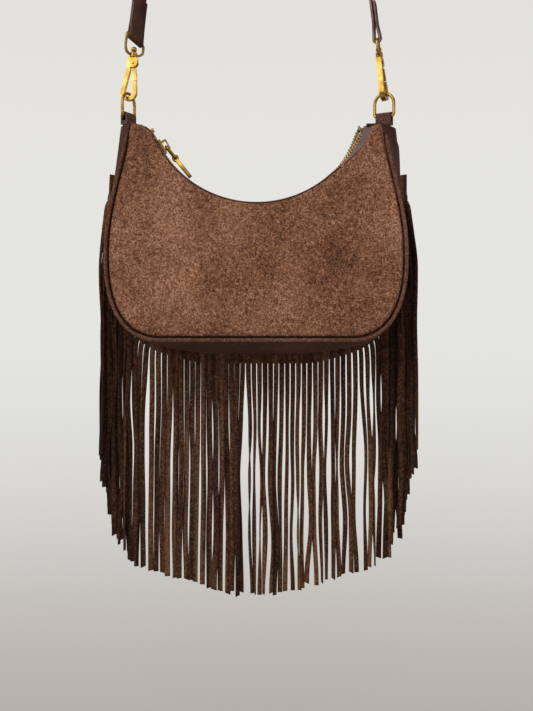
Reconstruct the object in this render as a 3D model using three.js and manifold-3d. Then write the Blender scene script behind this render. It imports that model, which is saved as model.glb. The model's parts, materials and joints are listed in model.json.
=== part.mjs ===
// A small suede shoulder bag with a zip along its scooped top and a fringe round its back seam.
// It hangs from its strap: +Z is up, the front panel faces -Y, and +X is to the right of the front.
// The part's origin is the inner face of the strap at the top of its arch.
// Lengths are in millimetres, and every height below is measured from the line on which
// the two snap hooks carry the two D-rings, STRAP_RISE under the origin.
import * as THREE from "three";
import { mergeVertices } from "three/addons/utils/BufferGeometryUtils.js";
import Module from "manifold-3d";

// Bag body
const STRAP_RISE = 300;
const HORN_X = 112;
const HORN_Z = -25;
const SIDE_X = 124.5;
const SIDE_Z = -138;
const CORNER_X = 78;
const BASE_Z = -207;
const SCOOP_R = 93.6;
const SCOOP_Z = 2.2;
const SCOOP_END = THREE.MathUtils.degToRad(73.1);
const MOUTH_HALF = 10;
const BASE_HALF = 26;
const SUEDE = 1.8;
const GAP = 0.3;
const PIPING_R = 1.5;
const BACK_DROP = 11;
const HORN_FLARE = 0.04;
const LINING = 0.8;
const LINING_EASE = 1.5;

// Fringe
const STRANDS = 94;
const STRAND_WIDTH = 4.2;
const STRAND_LENGTH = 206;
const HEM_RISE = 11;
const SIDE_EXTRA = 14;
const FRINGE_THICK = 1.4;
const HEADER_BASE = 7;
const HEADER_SIDE = 2.5;
const HEADER_TAB = 9;
const HEADER_IN = 4;
const SIDE_EDGE = 2;
const HEADER_TOP = 0.054;
const TAB_FOOT = 0.09;
const STRANDS_TOP = 0.105;

// Zip
const ZIP_R = 92.9;
const TAPE_THICK = 0.6;
const TAPE_EDGE = 11.4;
const TOOTH_PITCH = 2.6;
const TEETH_FROM = THREE.MathUtils.degToRad(-68.4);
const TEETH_TO = THREE.MathUtils.degToRad(69.4);
const TEETH_OUTER = 3.4;
const TEETH_ROOT = 1.9;
const TEETH_INNER = 0.65;
const TEETH_THICK = 2.6;
const SLIDER_AT = THREE.MathUtils.degToRad(-60.5);

// Hardware
const RING_X = 107.5;
const WIRE_R = 1.4;
const RING_HALF = 8.7;
const RING_BAR_Z = -17;
const TAB_WIDTH = 13.4;
const HOOK_THICK = 4.2;
const CONTACT_GAP = 0.7;
const EYE_R = 1.2;
const EYE_HALF = 8.4;
const EYE_BAR_Z = 48.5;
const LOAD_LEAN = 0.12;
const PIN_R = 0.7;
const GATE_PIVOT = { u: 0.6, z: 28.3 };

// Strap
const STRAP_WIDTH = 13;
const STRAP_THICK = 2.2;
const STRAP_END_Z = 82;
const ARCH_Z = 200;

// Which way each side's strap end, hook and ring face: the angle of their width from +X. The strap's
// fold and the eye's bar in it slope by "slant" along that width.
const SIDES = [
  { name: "left", x: -RING_X, strap: 35, hook: -12, ring: 62, slant: -0.45 },
  { name: "right", x: RING_X, strap: 78, hook: 66, ring: -30, slant: 0.35 },
];

const wasm = await Module();
wasm.setup();

const suede = new THREE.MeshStandardMaterial({ color: 0x6e4b3a, roughness: 0.95, metalness: 0 });
const gussetSuede = new THREE.MeshStandardMaterial({ color: 0x5a3b2d, roughness: 0.95, metalness: 0 });
const leather = new THREE.MeshStandardMaterial({ color: 0x37231c, roughness: 0.55, metalness: 0 });
const cloth = new THREE.MeshStandardMaterial({ color: 0x3a2a26, roughness: 0.9, metalness: 0 });
const brass = new THREE.MeshStandardMaterial({ color: 0xd2a53c, roughness: 0.25, metalness: 1 });

// --- Solids ---

// A copy of a geometry with nothing but its positions.
function bare(geometry) {
  const plain = geometry.clone();
  plain.deleteAttribute("normal");
  plain.deleteAttribute("uv");
  return plain;
}

// A closed geometry as a manifold solid.
function solidOf(geometry) {
  const merged = mergeVertices(bare(geometry), 1e-4);
  const made = new wasm.Mesh({
    numProp: 3,
    vertProperties: merged.attributes.position.array,
    triVerts: new Uint32Array(merged.index.array),
  });
  return new wasm.Manifold(made);
}

// A manifold solid as a three.js geometry.
function geometryOf(solid) {
  const { vertProperties, triVerts } = solid.getMesh();
  const geometry = new THREE.BufferGeometry();
  geometry.setAttribute("position", new THREE.BufferAttribute(vertProperties, 3));
  geometry.setIndex(new THREE.BufferAttribute(triVerts, 1));
  return geometry;
}

// Several closed geometries joined into one.
function join(...geometries) {
  return geometryOf(geometries.map(solidOf).reduce((whole, piece) => whole.add(piece)));
}

// The first geometry with the others cut away from it.
function cut(geometry, ...tools) {
  return geometryOf(tools.map(solidOf).reduce((whole, tool) => whole.subtract(tool), solidOf(geometry)));
}

// Turns a closed geometry's faces outward if a mirrored mapping has left them facing in.
function outward(geometry) {
  const merged = mergeVertices(bare(geometry), 1e-4);
  const at = merged.attributes.position;
  const order = merged.index.array;
  const [a, b, c] = [new THREE.Vector3(), new THREE.Vector3(), new THREE.Vector3()];
  let volume = 0;
  for (let i = 0; i < order.length; i += 3) {
    a.fromBufferAttribute(at, order[i]);
    b.fromBufferAttribute(at, order[i + 1]);
    c.fromBufferAttribute(at, order[i + 2]);
    volume += a.dot(b.cross(c));
  }
  if (volume < 0) {
    for (let i = 0; i < order.length; i += 3) {
      [order[i + 1], order[i + 2]] = [order[i + 2], order[i + 1]];
    }
  }
  return merged;
}

// Moves every vertex of a geometry to place(x, y, z).
function bend(geometry, place) {
  const bent = bare(geometry);
  const at = bent.attributes.position;
  for (let i = 0; i < at.count; i += 1) {
    const moved = place(at.getX(i), at.getY(i), at.getZ(i));
    at.setXYZ(i, moved.x, moved.y, moved.z);
  }
  return outward(bent);
}

// A block divided n[0] x n[1] x n[2] and laid out by place(a, b, c), each from 0 to 1.
function slab(n, place) {
  const block = new THREE.BoxGeometry(1, 1, 1, ...n).translate(0.5, 0.5, 0.5);
  return bend(block, place);
}

// A box between two corners.
function box(low, high) {
  const size = high.map((value, i) => value - low[i]);
  const middle = high.map((value, i) => (value + low[i]) / 2);
  return new THREE.BoxGeometry(...size).translate(...middle);
}

// A cylinder along Y through (x, z).
function pinAlongY(r, length, x, z, sides = 10) {
  return new THREE.CylinderGeometry(r, r, length, sides).translate(x, 0, z);
}

// A round bar along a curve.
function bar(curve, r, steps, sides = 10) {
  const section = new THREE.Shape().absarc(0, 0, r, 0, 2 * Math.PI);
  const options = { steps, extrudePath: curve, curveSegments: sides / 2, bevelEnabled: false };
  return new THREE.ExtrudeGeometry(section, options);
}

// A round bar along a closed loop drawn in X and Z.
function loopBar(path, r, steps, sides = 8) {
  const major = 10 * r;
  const torus = new THREE.TorusGeometry(major, r, sides, steps);
  return bend(torus, (x, y, z) => {
    const t = (Math.atan2(y, x) / (2 * Math.PI) + 1) % 1;
    const point = path.getPoint(t);
    const ahead = path.getPoint((t + 0.002) % 1);
    const behind = path.getPoint((t + 0.998) % 1);
    const along = ahead.sub(behind).normalize();
    const out = Math.hypot(x, y) - major;
    return new THREE.Vector3(point.x + along.y * out, z, point.y - along.x * out);
  });
}

// Straight and cubic pieces joined into one path: each entry holds 2 or 4 points.
function pathOf(Line, Cubic, entries) {
  const path = new THREE.CurvePath();
  entries.forEach((points) => path.add(points.length === 2 ? new Line(...points) : new Cubic(...points)));
  return path;
}

// The cubic quarter turn between two directions: from a start, through a corner, to an end.
function quarter(start, corner, end) {
  const pull = 0.55;
  return [start, start.clone().lerp(corner, pull), end.clone().lerp(corner, pull), end];
}

// A flat shape drawn in X and Z, with its thickness centred on Y = 0.
function plate(shape, thick, curveSegments = 8) {
  const options = { depth: thick, bevelEnabled: false, curveSegments };
  return new THREE.ExtrudeGeometry(shape, options).translate(0, 0, -thick / 2).rotateX(Math.PI / 2);
}

// --- The bag's form ---

// The seam line round the body from the left horn, under the base, to the right horn, in X and Z.
function makeSeamLine() {
  const at = (x, z) => new THREE.Vector2(x, z);
  const half = (s) => [
    new THREE.CubicBezierCurve(
      at(-HORN_X * s, HORN_Z),
      at(-(HORN_X + 5) * s, HORN_Z - 40),
      at(-SIDE_X * s, SIDE_Z + 42),
      at(-SIDE_X * s, SIDE_Z),
    ),
    new THREE.CubicBezierCurve(
      at(-SIDE_X * s, SIDE_Z),
      at(-SIDE_X * s, SIDE_Z - 40),
      at(-(CORNER_X + 33) * s, BASE_Z),
      at(-CORNER_X * s, BASE_Z),
    ),
  ];
  const reversed = (curve) => new THREE.CubicBezierCurve(curve.v3, curve.v2, curve.v1, curve.v0);
  const line = new THREE.CurvePath();
  half(1).forEach((curve) => line.add(curve));
  line.add(new THREE.LineCurve(at(-CORNER_X, BASE_Z), at(CORNER_X, BASE_Z)));
  half(-1).reverse().forEach((curve) => line.add(reversed(curve)));
  return line;
}
const seamLine = makeSeamLine();

// The point at fraction t of the seam line, moved out of the bag by "out", in X and Z.
function seam(t, out) {
  const point = seamLine.getPoint(t);
  const ahead = seamLine.getPoint(Math.min(1, t + 1e-3));
  const behind = seamLine.getPoint(Math.max(0, t - 1e-3));
  const along = ahead.sub(behind).normalize();
  return new THREE.Vector2(point.x + along.y * out, point.y - along.x * out);
}

// The point at fraction t of the scooped mouth, at radius r from the scoop's centre, in X and Z.
function scoop(t, r) {
  const angle = THREE.MathUtils.lerp(-SCOOP_END, SCOOP_END, t);
  return new THREE.Vector2(r * Math.sin(angle), SCOOP_Z - r * Math.cos(angle));
}

// From the flat layout, whose sides are BASE_HALF from the middle, to the bag as it hangs:
// thin at the mouth and full at the base, its back edge lower and its back horns wider.
function settle(x, y, z) {
  const r = Math.hypot(x, z - SCOOP_Z);
  const side = THREE.MathUtils.clamp(y / BASE_HALF, -1, 1);
  const fullness = THREE.MathUtils.smoothstep(r, SCOOP_R, 190);
  const inset = (BASE_HALF - MOUTH_HALF) * (1 - fullness);
  const horn = THREE.MathUtils.smoothstep(z, -125, HORN_Z) * THREE.MathUtils.smoothstep(r, SCOOP_R, 113);
  const middle = 1 - THREE.MathUtils.smoothstep(Math.abs(x), 35, 118);
  return new THREE.Vector3(
    x * (1 + HORN_FLARE * side * horn),
    y - side * inset,
    z - (BACK_DROP * (side + 1) * fullness * middle) / 2,
  );
}

// A sheet of the body: its outline runs from the mouth to the seam, inset by "inset" from it.
function bodySheet(yLow, yHigh, mouthR, inset, from = 0, above = 0) {
  return slab([32, 1, 5], (a, b, c) => {
    const t = THREE.MathUtils.lerp(from, 1 - from, a);
    const w = THREE.MathUtils.lerp(-above, 1, c);
    const point = scoop(t, mouthR).lerp(seam(t, -inset), w);
    return settle(point.x, THREE.MathUtils.lerp(yLow, yHigh, b), point.y);
  });
}

const PANEL_INSET = 2 * PIPING_R + 2 * GAP;
const BACK_FACE = BASE_HALF + GAP + FRINGE_THICK;

function makeFrontPanel() {
  return bodySheet(-BASE_HALF - SUEDE, -BASE_HALF, SCOOP_R + GAP, PANEL_INSET);
}

function makeBackPanel() {
  return bodySheet(BACK_FACE + GAP, BACK_FACE + GAP + SUEDE, SCOOP_R + GAP, PANEL_INSET);
}

// The band between the panels: it runs round the seam and closes the top of both horns.
function makeGusset() {
  const reach = BASE_HALF - GAP;
  const band = slab([48, 1, 1], (a, b, c) => {
    const point = seam(a, -PIPING_R - SUEDE + c * SUEDE);
    return settle(point.x, THREE.MathUtils.lerp(-reach, reach, b), point.y);
  });
  const shoulder = (s) => slab([2, 1, 1], (a, b, c) => {
    const x = THREE.MathUtils.lerp(SCOOP_R - 1.6, HORN_X - PIPING_R - 0.4, a);
    return settle(s * x, THREE.MathUtils.lerp(-reach, reach, b), HORN_Z - c * SUEDE);
  });
  return join(band, shoulder(-1), shoulder(1));
}

// A welt of round piping along the outer edge of a panel.
function makePiping(y) {
  class Welt extends THREE.Curve {
    getPoint(t) {
      const point = seam(THREE.MathUtils.lerp(0.018, 0.982, t), -PIPING_R);
      return settle(point.x, y, point.y);
    }
  }
  return bar(new Welt(), PIPING_R, 44, 6);
}

// The sewn lining: a thin pouch inside the shells, open along the mouth.
function makeLining() {
  const reach = BASE_HALF - LINING_EASE;
  const seat = PIPING_R + SUEDE + LINING_EASE;
  const outside = bodySheet(-reach, reach, SCOOP_R + 1.2, seat, 0.03);
  const inside = bodySheet(-reach + LINING, reach - LINING, SCOOP_R + 1.2, seat + LINING, 0.034, 0.04);
  return cut(outside, inside);
}

// --- The fringe ---

// How far the uncut header stands out of the seam: a tab at each end, and an upright edge
// from there down to the widest point, past which it is narrow except under the base.
function headerReach(t) {
  const fromEnd = Math.min(t, 1 - t);
  const point = seam(t, 0);
  const upright = SIDE_X + SIDE_EDGE - Math.abs(point.x);
  const side = point.y > SIDE_Z ? Math.max(HEADER_SIDE, upright) : HEADER_SIDE;
  const tab = 1 - THREE.MathUtils.smoothstep(fromEnd, TAB_FOOT, TAB_FOOT + 0.012);
  const base = THREE.MathUtils.smoothstep(fromEnd, 0.3, 0.42);
  return side + (HEADER_TAB - side) * tab + (HEADER_BASE - side) * base;
}

// The length of a strand hanging from a point of the seam: the hem rises away from the middle.
function strandLength(x, z) {
  const hem = HEM_RISE * THREE.MathUtils.smoothstep(Math.abs(x), 10, 70);
  return STRAND_LENGTH - hem + SIDE_EXTRA * THREE.MathUtils.smoothstep(z, -150, -95);
}

// One strip of suede sewn into the back seam and slit into strands below an uncut header.
function makeFringe() {
  const yLow = BASE_HALF + GAP;
  const header = slab([72, 1, 1], (a, b, c) => {
    const t = THREE.MathUtils.lerp(HEADER_TOP, 1 - HEADER_TOP, a);
    const point = seam(t, THREE.MathUtils.lerp(-HEADER_IN, headerReach(t), c));
    return settle(point.x, yLow + b * FRINGE_THICK, point.y);
  });
  const strands = [];
  for (let i = 0; i < STRANDS; i += 1) {
    const t = THREE.MathUtils.lerp(STRANDS_TOP, 1 - STRANDS_TOP, i / (STRANDS - 1));
    const inSeam = seam(t, 0);
    const atRoot = seam(t, headerReach(t) - 2);
    const root = settle(atRoot.x, yLow + FRINGE_THICK / 2, atRoot.y);
    const end = settle(inSeam.x, yLow, inSeam.y).z - strandLength(inSeam.x, inSeam.y);
    const half = STRAND_WIDTH / 2;
    const outside = Math.abs(root.x) + (Math.abs(atRoot.x - inSeam.x) * half) / (headerReach(t) - 2);
    const clear = atRoot.y > SIDE_Z ? Math.max(outside, SIDE_X + SIDE_EDGE / 2 + half) : outside;
    const x = Math.sign(root.x) * clear;
    strands.push(box(
      [x - half, root.y - FRINGE_THICK / 2, end],
      [x + half, root.y + FRINGE_THICK / 2, root.z],
    ));
  }
  return join(header, ...strands);
}

// --- The zip ---

// Wraps a flat zip layout onto the scoop: u along the zip, y across it, h towards the scoop's centre.
function wrap(u, y, h) {
  const angle = u / ZIP_R;
  const r = ZIP_R - h;
  return new THREE.Vector3(r * Math.sin(angle), y, SCOOP_Z - r * Math.cos(angle));
}

// Half of the zip's tape, from the teeth to the panel's edge. side is -1 at the front, 1 at the back.
function makeTape(side) {
  const end = (SCOOP_END - 0.01) * ZIP_R;
  return slab([40, 1, 1], (a, b, c) => {
    const y = THREE.MathUtils.lerp(TEETH_OUTER + GAP, TAPE_EDGE, b);
    return wrap(THREE.MathUtils.lerp(-end, end, a), side * y, TAPE_THICK * (c - 0.5));
  });
}

// One row of pointed teeth on its cord. The two rows stand just apart and half a tooth out of
// step, so that the slider's post can pass between them.
function makeTeeth(side) {
  const from = TEETH_FROM * ZIP_R;
  const count = Math.floor(((TEETH_TO - TEETH_FROM) * ZIP_R) / TOOTH_PITCH);
  return slab([2 * count, 1, 1], (a, b, c) => {
    const station = Math.round(a * 2 * count);
    const isTip = (station % 2 === 1) === (side > 0);
    const inner = isTip ? TEETH_INNER : TEETH_ROOT;
    const y = THREE.MathUtils.lerp(inner, TEETH_OUTER, b);
    return wrap(from + (station * TOOTH_PITCH) / 2, side * y, TEETH_THICK * (c - 0.5));
  });
}

// A metal stop clipped over the zip from y = yLow to yHigh, at an angle from the scoop's middle.
function makeStop(angle, yLow, yHigh) {
  const length = 2.4;
  return slab([2, 1, 1], (a, b, c) => (
    wrap(angle * ZIP_R + (a - 0.5) * length, THREE.MathUtils.lerp(yLow, yHigh, b), 1.6 - 3.2 * c)
  ));
}

// The slider: two plates joined by a post between the rows, with flanges and a bail for the puller.
const SLIDER_LENGTH = 12;
const SLIDER_HALF = 5.2;
const CHANNEL = TEETH_THICK / 2 + GAP;
const PLATE = 1.5;
const BAIL_TOP = 7.6;
const BAIL_BAR = 1.3;
const BAIL_POST = 1.8;
const BAIL_SET_BACK = 1.2;
function makeSlider() {
  const half = SLIDER_LENGTH / 2;
  const at = SLIDER_AT * ZIP_R;
  const piece = (low, high) => {
    const flat = box(low, high);
    return bend(flat, (u, y, h) => wrap(at + u, y, h));
  };
  const plates = [
    piece([-half, -SLIDER_HALF, CHANNEL], [half, SLIDER_HALF, CHANNEL + PLATE]),
    piece([-half, -SLIDER_HALF, -CHANNEL - PLATE], [half, SLIDER_HALF, -CHANNEL]),
    piece([-half, -TEETH_INNER / 2, -CHANNEL - 0.5], [-half + 5, TEETH_INNER / 2, CHANNEL + 0.5]),
  ];
  const flange = TAPE_THICK / 2 + GAP;
  const flanges = [-1, 1].flatMap((s) => [-1, 1].map((t) => {
    const [y0, y1] = [s * (TEETH_OUTER + 0.5), s * SLIDER_HALF].sort((a, b) => a - b);
    const [h0, h1] = [t * flange, t * (CHANNEL + 0.5)].sort((a, b) => a - b);
    return piece([-half, y0, h0], [half, y1, h1]);
  }));
  const top = CHANNEL + PLATE;
  const end = half - BAIL_SET_BACK;
  const bail = [
    piece([-end, -1, top - 0.4], [-end + BAIL_POST, 1, BAIL_TOP]),
    piece([end - BAIL_POST, -1, top - 0.4], [end, 1, BAIL_TOP]),
    piece([-end, -1, BAIL_TOP - BAIL_BAR], [end, 1, BAIL_TOP]),
  ];
  return join(...plates, ...flanges, ...bail);
}

// The puller's parts are drawn along +X from the bail's crossbar and then laid down the zip.
const LINK_INNER = 2;
const LINK_LENGTH = 12.5;
const LINK_R = 0.95;
const PULLER_LENGTH = 20;
const PULLER_TILT = THREE.MathUtils.degToRad(-51.5);
const PULLER_THICK = 2.2;
const PULLER_HALF = 2.4;
const KNUCKLE_R = 2.5;
const KNUCKLE_BORE = 1.55;
const KNUCKLE_HALF = 1.4;

// The oval wire that joins the bail and the puller.
function makePullerLink() {
  const half = LINK_INNER + LINK_R;
  const at = (x, z) => new THREE.Vector2(x, z);
  const end = LINK_LENGTH;
  const oval = pathOf(THREE.LineCurve, THREE.CubicBezierCurve, [
    quarter(at(0, 0), at(0, -half), at(half, -half)),
    [at(half, -half), at(end - half, -half)],
    quarter(at(end - half, -half), at(end, -half), at(end, 0)),
    quarter(at(end, 0), at(end, half), at(end - half, half)),
    [at(end - half, half), at(half, half)],
    quarter(at(half, half), at(0, half), at(0, 0)),
  ]);
  return loopBar(oval, LINK_R, 32, 6).rotateX(Math.PI / 2);
}

// The flat puller bar, ending in a knuckle that the link's far end runs through.
function makePullerBar() {
  const shape = new THREE.Shape();
  shape.moveTo(4, -PULLER_HALF);
  shape.lineTo(PULLER_LENGTH - PULLER_HALF, -PULLER_HALF);
  shape.absarc(PULLER_LENGTH - PULLER_HALF, 0, PULLER_HALF, -Math.PI / 2, Math.PI / 2);
  shape.lineTo(4, PULLER_HALF);
  shape.lineTo(KNUCKLE_R - 0.5, KNUCKLE_HALF);
  shape.lineTo(KNUCKLE_R - 0.5, -KNUCKLE_HALF);
  const options = { depth: PULLER_THICK, bevelEnabled: false, curveSegments: 8 };
  const flat = new THREE.ExtrudeGeometry(shape, options);
  flat.translate(0, 0, -PULLER_THICK / 2);
  const knuckle = pinAlongY(KNUCKLE_R, 2 * KNUCKLE_HALF, 0, 0, 14);
  return cut(join(flat, knuckle), pinAlongY(KNUCKLE_BORE, 4 * KNUCKLE_HALF, 0, 0, 14));
}

// --- The hardware ---

// A D-ring: a round wire arch closed by a straight bar. Its width is along X, and it stands on its bar.
function makeRing() {
  const at = (x, z) => new THREE.Vector2(x, z);
  const top = WIRE_R + CONTACT_GAP;
  const r = RING_HALF;
  const low = RING_BAR_Z;
  const foot = 2.2;
  const outline = pathOf(THREE.LineCurve, THREE.CubicBezierCurve, [
    [at(-r + foot, low), at(r - foot, low)],
    quarter(at(r - foot, low), at(r, low), at(r, low + foot)),
    [at(r, low + foot), at(r, top - r)],
    quarter(at(r, top - r), at(r, top), at(0, top)),
    quarter(at(0, top), at(-r, top), at(-r, top - r)),
    [at(-r, top - r), at(-r, low + foot)],
    quarter(at(-r, low + foot), at(-r, low), at(-r + foot, low)),
  ]);
  return loopBar(outline, WIRE_R, 40);
}

// The folded leather loop that holds a ring's bar, drawn with the bar along X.
function makeRingTab() {
  const half = 3.2;
  const crown = RING_BAR_Z + WIRE_R + GAP + 1.4;
  const foot = HORN_Z + GAP;
  const shape = new THREE.Shape();
  shape.moveTo(-half, foot);
  shape.lineTo(half, foot);
  shape.lineTo(half, crown - half);
  shape.absarc(0, crown - half, half, 0, Math.PI);
  shape.lineTo(-half, foot);
  const hollow = new THREE.Path();
  const room = WIRE_R + GAP;
  hollow.moveTo(-room, RING_BAR_Z);
  hollow.lineTo(-room, foot + 3);
  hollow.lineTo(room, foot + 3);
  hollow.lineTo(room, RING_BAR_Z);
  hollow.absarc(0, RING_BAR_Z, room, 0, Math.PI);
  shape.holes.push(hollow);
  return plate(shape, TAB_WIDTH, 12).rotateZ(Math.PI / 2);
}

const BOW_OUTER = 6.9;
const BOW_INNER = 3.6;
const BOW_Z = BOW_INNER - CONTACT_GAP;
const BLOCK_LOW = 22;
const BLOCK_TOP = 32.4;
const BLOCK_HALF = 4;
const SPLIT_R = 16.2;
const HEAD_Z = 39.4;

// The height at which a circle of radius r about the gate's pivot crosses the line at u from the middle.
function underPivot(u, r) {
  return GATE_PIVOT.z - Math.sqrt(r * r - (u - GATE_PIVOT.u) ** 2);
}

// Where the outer and inner edges of a hook's legs are at height z.
function legOuter(z) {
  return THREE.MathUtils.mapLinear(z, BOW_Z, BLOCK_LOW, BOW_OUTER, BLOCK_HALF);
}
function legInner(z) {
  return THREE.MathUtils.mapLinear(z, BOW_Z, BLOCK_LOW, BOW_INNER, 1);
}

const NOSE_OUTER = legOuter(GATE_PIVOT.z - SPLIT_R);
const NOSE_INNER = legInner(GATE_PIVOT.z - SPLIT_R);

// The snap hook's frame: a teardrop bow open between its nose and its forked top block,
// with the swivel's stem and ball head above.
function makeHookBody() {
  const shape = new THREE.Shape();
  shape.moveTo(-legOuter(BLOCK_LOW), BLOCK_LOW);
  shape.lineTo(-BOW_OUTER, BOW_Z);
  shape.absarc(0, BOW_Z, BOW_OUTER, Math.PI, 2 * Math.PI);
  shape.lineTo(NOSE_OUTER, underPivot(NOSE_OUTER, SPLIT_R));
  shape.lineTo(NOSE_INNER, underPivot(NOSE_INNER, SPLIT_R));
  shape.lineTo(BOW_INNER, BOW_Z);
  shape.absarc(0, BOW_Z, BOW_INNER, 0, Math.PI, true);
  shape.lineTo(-legInner(BLOCK_LOW), BLOCK_LOW);
  shape.lineTo(-legInner(BLOCK_LOW), BLOCK_TOP);
  shape.lineTo(-BLOCK_HALF, BLOCK_TOP);
  const block = new THREE.Shape();
  const reach = BLOCK_HALF + 0.3;
  block.moveTo(-BLOCK_HALF, BLOCK_TOP);
  block.lineTo(-BLOCK_HALF, GATE_PIVOT.z - 3);
  block.absarc(GATE_PIVOT.u, GATE_PIVOT.z, reach, -Math.PI * 0.8, -0.15);
  block.lineTo(BLOCK_HALF, BLOCK_TOP);
  const stem = new THREE.CylinderGeometry(1.3, 1.3, HEAD_Z - BLOCK_TOP + 1, 10);
  stem.rotateX(Math.PI / 2).translate(0, 0, (HEAD_Z + BLOCK_TOP) / 2 - 0.5);
  const head = new THREE.SphereGeometry(2.5, 10, 6).translate(0, 0, HEAD_Z);
  const frame = join(plate(shape, HOOK_THICK, 10), plate(block, HOOK_THICK, 8), stem, head);
  const slot = box([-1.9, -0.8, 23], [BLOCK_HALF + 2, 0.8, BLOCK_TOP - 1.4]);
  return cut(frame, slot, pinAlongY(PIN_R + GAP / 2, HOOK_THICK * 2, GATE_PIVOT.u, GATE_PIVOT.z));
}

// The gate: a straight leg that closes the hook, on a thin lug that turns in the block's slot.
function makeGate() {
  const shape = new THREE.Shape();
  const top = GATE_PIVOT.z - 5;
  const foot = SPLIT_R - 1.5 * GAP;
  shape.moveTo(NOSE_INNER, underPivot(NOSE_INNER, foot));
  shape.lineTo(NOSE_OUTER, underPivot(NOSE_OUTER, foot));
  shape.lineTo(legOuter(top) + 0.1, top);
  shape.lineTo(legInner(top) + 0.3, top);
  const lug = new THREE.Shape();
  lug.absarc(GATE_PIVOT.u, GATE_PIVOT.z, 2.2, 0, 2 * Math.PI);
  const neck = new THREE.Shape();
  neck.moveTo(GATE_PIVOT.u - 0.2, GATE_PIVOT.z);
  neck.lineTo(legInner(top) + 0.4, top - 1);
  neck.lineTo(legOuter(top), top - 1);
  neck.lineTo(GATE_PIVOT.u + 2, GATE_PIVOT.z);
  const whole = join(plate(shape, HOOK_THICK - 0.2), plate(lug, 1.1, 12), plate(neck, 1.1));
  return cut(whole, pinAlongY(PIN_R + GAP / 2, HOOK_THICK * 2, GATE_PIVOT.u, GATE_PIVOT.z));
}

// The rivet that the gate turns on, with a flat head each side.
function makeGatePin() {
  const head = 0.5;
  const shank = pinAlongY(PIN_R, HOOK_THICK + 2 * head + 0.6, GATE_PIVOT.u, GATE_PIVOT.z);
  const heads = [-1, 1].map((s) => (
    pinAlongY(1.5, head, GATE_PIVOT.u, GATE_PIVOT.z).translate(0, s * (HOOK_THICK / 2 + GAP + head / 2), 0)
  ));
  return join(shank, ...heads);
}

// The leaf spring in the block's slot that presses the gate shut.
function makeGateSpring() {
  return box([-1.7, -0.6, BLOCK_LOW + 2.6], [-1.3 - GAP, 0.6, BLOCK_TOP - 2.4]);
}

// The swivel's D-shaped eye: a boss round the hook's stem, and a wire loop for the strap.
function makeEye(slant) {
  const bossLow = BLOCK_TOP + GAP + 0.2;
  const bossTop = HEAD_Z - 2.2 - GAP;
  const profile = [[1.65, bossLow], [3, bossLow], [3, bossTop], [1.65, bossTop], [1.65, bossLow]];
  const boss = new THREE.LatheGeometry(profile.map(([r, z]) => new THREE.Vector2(r, z)), 18);
  boss.rotateX(Math.PI / 2);
  const at = (x, z) => new THREE.Vector3(x, 0, z);
  const low = (bossLow + bossTop) / 2;
  const corner = 1.3;
  const r = EYE_HALF;
  const loop = pathOf(THREE.LineCurve3, THREE.CubicBezierCurve3, [
    [at(-2.4, low), at(-6, low), at(-r, low + 2.5), at(-r, low + 6)],
    [at(-r, low + 6), at(-r, EYE_BAR_Z - corner)],
    quarter(at(-r, EYE_BAR_Z - corner), at(-r, EYE_BAR_Z), at(-r + corner, EYE_BAR_Z)),
    [at(-r + corner, EYE_BAR_Z), at(r - corner, EYE_BAR_Z)],
    quarter(at(r - corner, EYE_BAR_Z), at(r, EYE_BAR_Z), at(r, EYE_BAR_Z - corner)),
    [at(r, EYE_BAR_Z - corner), at(r, low + 6)],
    [at(r, low + 6), at(r, low + 2.5), at(6, low), at(2.4, low)],
  ]);
  const wire = bend(bar(loop, EYE_R, 40, 8), (x, y, z) => {
    const share = THREE.MathUtils.smoothstep(z, low, EYE_BAR_Z - 4);
    return new THREE.Vector3(x, y, z + slant * share * x);
  });
  return join(outward(boss), wire);
}

// --- The strap ---

const DEPTH = new THREE.Vector3(0, 1, 0);

// The turn about the depth axis that leans a side's hook and strap end towards the strap's apex.
function loadLean(side) {
  return -Math.sign(side.x) * LOAD_LEAN;
}

// One end of the strap, from its cut end down round the eye's bar and up again: distance along
// the strap's face direction, then height.
const LAYER = STRAP_THICK / 2 + 0.25;
const FOLD = EYE_R + GAP + STRAP_THICK / 2;
function strapEnd(side) {
  const turned = THREE.MathUtils.degToRad(side.strap);
  const lean = loadLean(side);
  const width = new THREE.Vector3(Math.cos(turned), Math.sin(turned), 0);
  const face = new THREE.Vector3(Math.sin(turned), -Math.cos(turned), 0);
  const stations = [[LAYER, 79], [LAYER, 70], [LAYER, 62], [LAYER + 0.5, 56]];
  for (let i = 0; i <= 10; i += 1) {
    const angle = (Math.PI * i) / 10;
    stations.push([FOLD * Math.cos(angle), EYE_BAR_Z - FOLD * Math.sin(angle)]);
  }
  stations.push([-LAYER - 0.5, 56], [-LAYER, 62], [-LAYER, 70], [-LAYER, STRAP_END_Z]);
  return stations.map(([out, z]) => {
    const at = new THREE.Vector3(0, 0, z).addScaledVector(face, out).applyAxisAngle(DEPTH, lean);
    const folded = 1 - THREE.MathUtils.smoothstep(z, 54, 66);
    at.x += side.x;
    return { at, width: width.clone().setZ(side.slant * folded).applyAxisAngle(DEPTH, lean * folded) };
  });
}

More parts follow.
